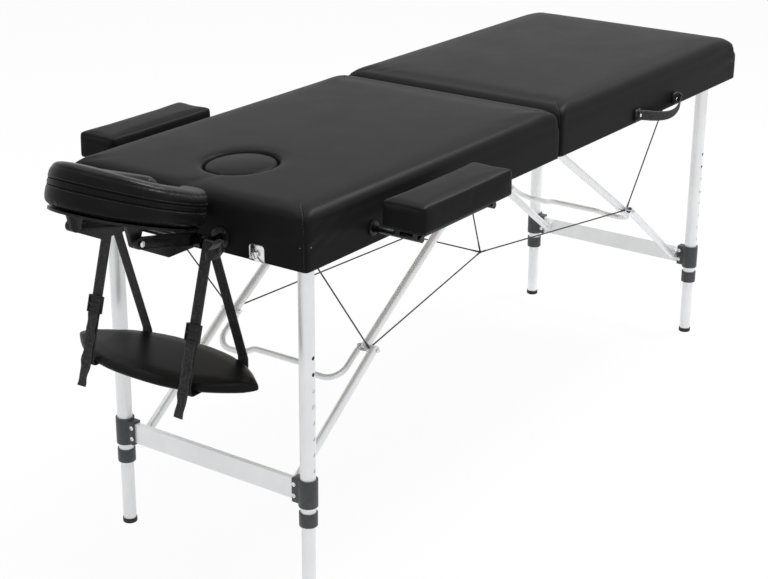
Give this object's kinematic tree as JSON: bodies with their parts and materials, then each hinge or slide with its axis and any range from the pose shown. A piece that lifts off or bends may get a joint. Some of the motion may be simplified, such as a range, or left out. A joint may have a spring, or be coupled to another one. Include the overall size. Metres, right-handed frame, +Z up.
{
  "type": "massage table",
  "caption": "Portable folding massage table: two padded halves on telescopic legs with knee braces and cables, a tilting face cradle, a sling shelf and two armrests.",
  "frame": {"origin": "middle of the whole object's box at floor level, under the feet", "axes": "+X along the table from the face cradle to the foot end, +Y across to the far side, +Z up"},
  "size_m": [2.1582, 0.884, 0.9315],
  "materials": {
    "black_vinyl": "satin",
    "plywood": "matte",
    "wood": "matte",
    "zinc_steel": "satin",
    "chrome_steel": "polished",
    "button_steel": "polished",
    "black_plastic": "satin",
    "grey_plastic": "satin",
    "black_rubber": "matte",
    "cable_black": "satin",
    "webbing": "matte",
    "buckle_plastic": "satin",
    "post_steel": "satin",
    "aluminium_tube": "satin"
  },
  "bodies": {
    "head_panel": {"head_deck": "plywood", "head_rails": "wood", "head_cushion": "black_vinyl", "head_pivots": "zinc_steel", "head_hinges": "zinc_steel", "panel_sockets": "black_plastic", "latch_studs": "chrome_steel", "brace_cables": "cable_black"},
    "face_plug": {"face_plug": "black_vinyl"},
    "foot_panel": {"foot_deck": "plywood", "foot_rails": "wood", "foot_cushion": "black_vinyl", "foot_pivots": "zinc_steel", "foot_hinges": "zinc_steel", "carry_handle": "webbing", "handle_rivets": "chrome_steel", "latch_bases": "chrome_steel"},
    "near_latch_hook": {"near_latch_hook": "chrome_steel"},
    "far_latch_hook": {"far_latch_hook": "chrome_steel"},
    "cradle": {"cradle_posts": "post_steel", "sling_shelf": "black_vinyl", "sling_straps": "webbing", "strap_buckles": "buckle_plastic"},
    "cradle_arms": {"cradle_arms": "black_plastic"},
    "cradle_platform": {"cradle_platform": "black_plastic", "cradle_cushion": "black_vinyl"},
    "cradle_lever": {"cradle_lever": "black_plastic"},
    "near_arm": {"near_arm_pad": "black_vinyl", "near_arm_posts": "post_steel"},
    "far_arm": {"far_arm_pad": "black_vinyl", "far_arm_posts": "post_steel"},
    "head_leg_frame": {"head_leg_tubes": "aluminium_tube", "head_crossbar": "aluminium_tube", "head_leg_clamps": "grey_plastic"},
    "head_upper_brace": {"head_upper_braces": "aluminium_tube", "head_bow": "aluminium_tube", "head_knee_bolts": "chrome_steel"},
    "head_lower_brace": {"head_lower_braces": "aluminium_tube", "head_knee_nuts": "chrome_steel"},
    "head_near_leg": {"head_near_inner_leg": "aluminium_tube", "head_near_rubber_foot": "black_rubber"},
    "head_near_button": {"head_near_snap_clip": "button_steel"},
    "head_far_leg": {"head_far_inner_leg": "aluminium_tube", "head_far_rubber_foot": "black_rubber"},
    "head_far_button": {"head_far_snap_clip": "button_steel"},
    "foot_leg_frame": {"foot_leg_tubes": "aluminium_tube", "foot_crossbar": "aluminium_tube", "foot_leg_clamps": "grey_plastic"},
    "foot_upper_brace": {"foot_upper_braces": "aluminium_tube", "foot_bow": "aluminium_tube", "foot_knee_bolts": "chrome_steel"},
    "foot_lower_brace": {"foot_lower_braces": "aluminium_tube", "foot_knee_nuts": "chrome_steel"},
    "foot_near_leg": {"foot_near_inner_leg": "aluminium_tube", "foot_near_rubber_foot": "black_rubber"},
    "foot_near_button": {"foot_near_snap_clip": "button_steel"},
    "foot_far_leg": {"foot_far_inner_leg": "aluminium_tube", "foot_far_rubber_foot": "black_rubber"},
    "foot_far_button": {"foot_far_snap_clip": "button_steel"}
  },
  "joints": [
    {"name": "middle_hinge", "type": "hinge", "parent": "head_panel", "child": "foot_panel", "pos_m": [0.14701, 0, 0.708], "axis": [0, 1, 0], "range_deg": [0, 95], "deforming": ["brace_cables"]},
    {"name": "head_leg_fold", "type": "hinge", "parent": "head_panel", "child": "head_leg_frame", "pos_m": [-0.70599, 0, 0.736], "axis": [0, -1, 0], "range_deg": [0, 90], "deforming": ["brace_cables"]},
    {"name": "head_upper_brace_turn", "type": "hinge", "parent": "head_panel", "child": "head_upper_brace", "pos_m": [0.08701, 0, 0.753], "axis": [0, 1, 0], "range_deg": [0, 33.55], "deforming": ["brace_cables"]},
    {"name": "head_lower_brace_turn", "type": "hinge", "parent": "head_leg_frame", "child": "head_lower_brace", "pos_m": [-0.68899, 0, 0.22], "axis": [0, -1, 0], "range_deg": [0, 53.8]},
    {"name": "head_near_leg_slide", "type": "slide", "parent": "head_leg_frame", "child": "head_near_leg", "axis": [0, 0, -1], "range_m": [-0.1029, 0.1029]},
    {"name": "head_near_button_press", "type": "slide", "parent": "head_near_leg", "child": "head_near_button", "axis": [0, 1, 0], "range_m": [0, 0.0055], "stiffness_N_per_m": 400, "springref_m": -0.002},
    {"name": "head_far_leg_slide", "type": "slide", "parent": "head_leg_frame", "child": "head_far_leg", "axis": [0, 0, -1], "range_m": [-0.1029, 0.1029]},
    {"name": "head_far_button_press", "type": "slide", "parent": "head_far_leg", "child": "head_far_button", "axis": [0, -1, 0], "range_m": [0, 0.0055], "stiffness_N_per_m": 400, "springref_m": -0.002},
    {"name": "foot_leg_fold", "type": "hinge", "parent": "foot_panel", "child": "foot_leg_frame", "pos_m": [1.00001, 0, 0.736], "axis": [0, 1, 0], "range_deg": [0, 90], "deforming": ["brace_cables"]},
    {"name": "foot_upper_brace_turn", "type": "hinge", "parent": "foot_panel", "child": "foot_upper_brace", "pos_m": [0.20701, 0, 0.753], "axis": [0, -1, 0], "range_deg": [0, 33.55], "deforming": ["brace_cables"]},
    {"name": "foot_lower_brace_turn", "type": "hinge", "parent": "foot_leg_frame", "child": "foot_lower_brace", "pos_m": [0.98301, 0, 0.22], "axis": [0, 1, 0], "range_deg": [0, 53.8]},
    {"name": "foot_near_leg_slide", "type": "slide", "parent": "foot_leg_frame", "child": "foot_near_leg", "axis": [0, 0, -1], "range_m": [-0.1029, 0.1029]},
    {"name": "foot_near_button_press", "type": "slide", "parent": "foot_near_leg", "child": "foot_near_button", "axis": [0, 1, 0], "range_m": [0, 0.0055], "stiffness_N_per_m": 400, "springref_m": -0.002},
    {"name": "foot_far_leg_slide", "type": "slide", "parent": "foot_leg_frame", "child": "foot_far_leg", "axis": [0, 0, -1], "range_m": [-0.1029, 0.1029]},
    {"name": "foot_far_button_press", "type": "slide", "parent": "foot_far_leg", "child": "foot_far_button", "axis": [0, -1, 0], "range_m": [0, 0.0055], "stiffness_N_per_m": 400, "springref_m": -0.002},
    {"name": "plug_lift", "type": "slide", "parent": "head_panel", "child": "face_plug", "axis": [0, 0, 1], "range_m": [0, 0.08]},
    {"name": "cradle_slide", "type": "slide", "parent": "head_panel", "child": "cradle", "axis": [-1, 0, 0], "range_m": [0, 0.08]},
    {"name": "cradle_swing", "type": "hinge", "parent": "cradle", "child": "cradle_arms", "pos_m": [-0.83799, 0, 0.752], "axis": [0, 1, 0], "range_deg": [-15, 0]},
    {"name": "cradle_tilt", "type": "hinge", "parent": "cradle_arms", "child": "cradle_platform", "pos_m": [-0.98299, 0, 0.785], "axis": [0, -1, 0], "range_deg": [0, 30]},
    {"name": "cradle_lever_turn", "type": "hinge", "parent": "cradle", "child": "cradle_lever", "pos_m": [-0.83799, -0.1485, 0.752], "axis": [0, 0, 1], "range_deg": [0, 100]},
    {"name": "near_arm_slide", "type": "slide", "parent": "head_panel", "child": "near_arm", "axis": [0, -1, 0], "range_m": [0, 0.03]},
    {"name": "far_arm_slide", "type": "slide", "parent": "head_panel", "child": "far_arm", "axis": [0, 1, 0], "range_m": [0, 0.03]},
    {"name": "near_latch_swing", "type": "hinge", "parent": "foot_panel", "child": "near_latch_hook", "pos_m": [1.07501, -0.187, 0.734], "axis": [1, 0, 0], "range_deg": [-90, 90]},
    {"name": "far_latch_swing", "type": "hinge", "parent": "foot_panel", "child": "far_latch_hook", "pos_m": [1.07501, 0.187, 0.734], "axis": [1, 0, 0], "range_deg": [-90, 90]}
  ],
  "couplings": [
    {"joint": "head_upper_brace_turn", "follows": "head_leg_fold", "ratio": 0.3727},
    {"joint": "head_lower_brace_turn", "follows": "head_leg_fold", "ratio": 0.59769},
    {"joint": "foot_upper_brace_turn", "follows": "foot_leg_fold", "ratio": 0.3727},
    {"joint": "foot_lower_brace_turn", "follows": "foot_leg_fold", "ratio": 0.59769}
  ]
}
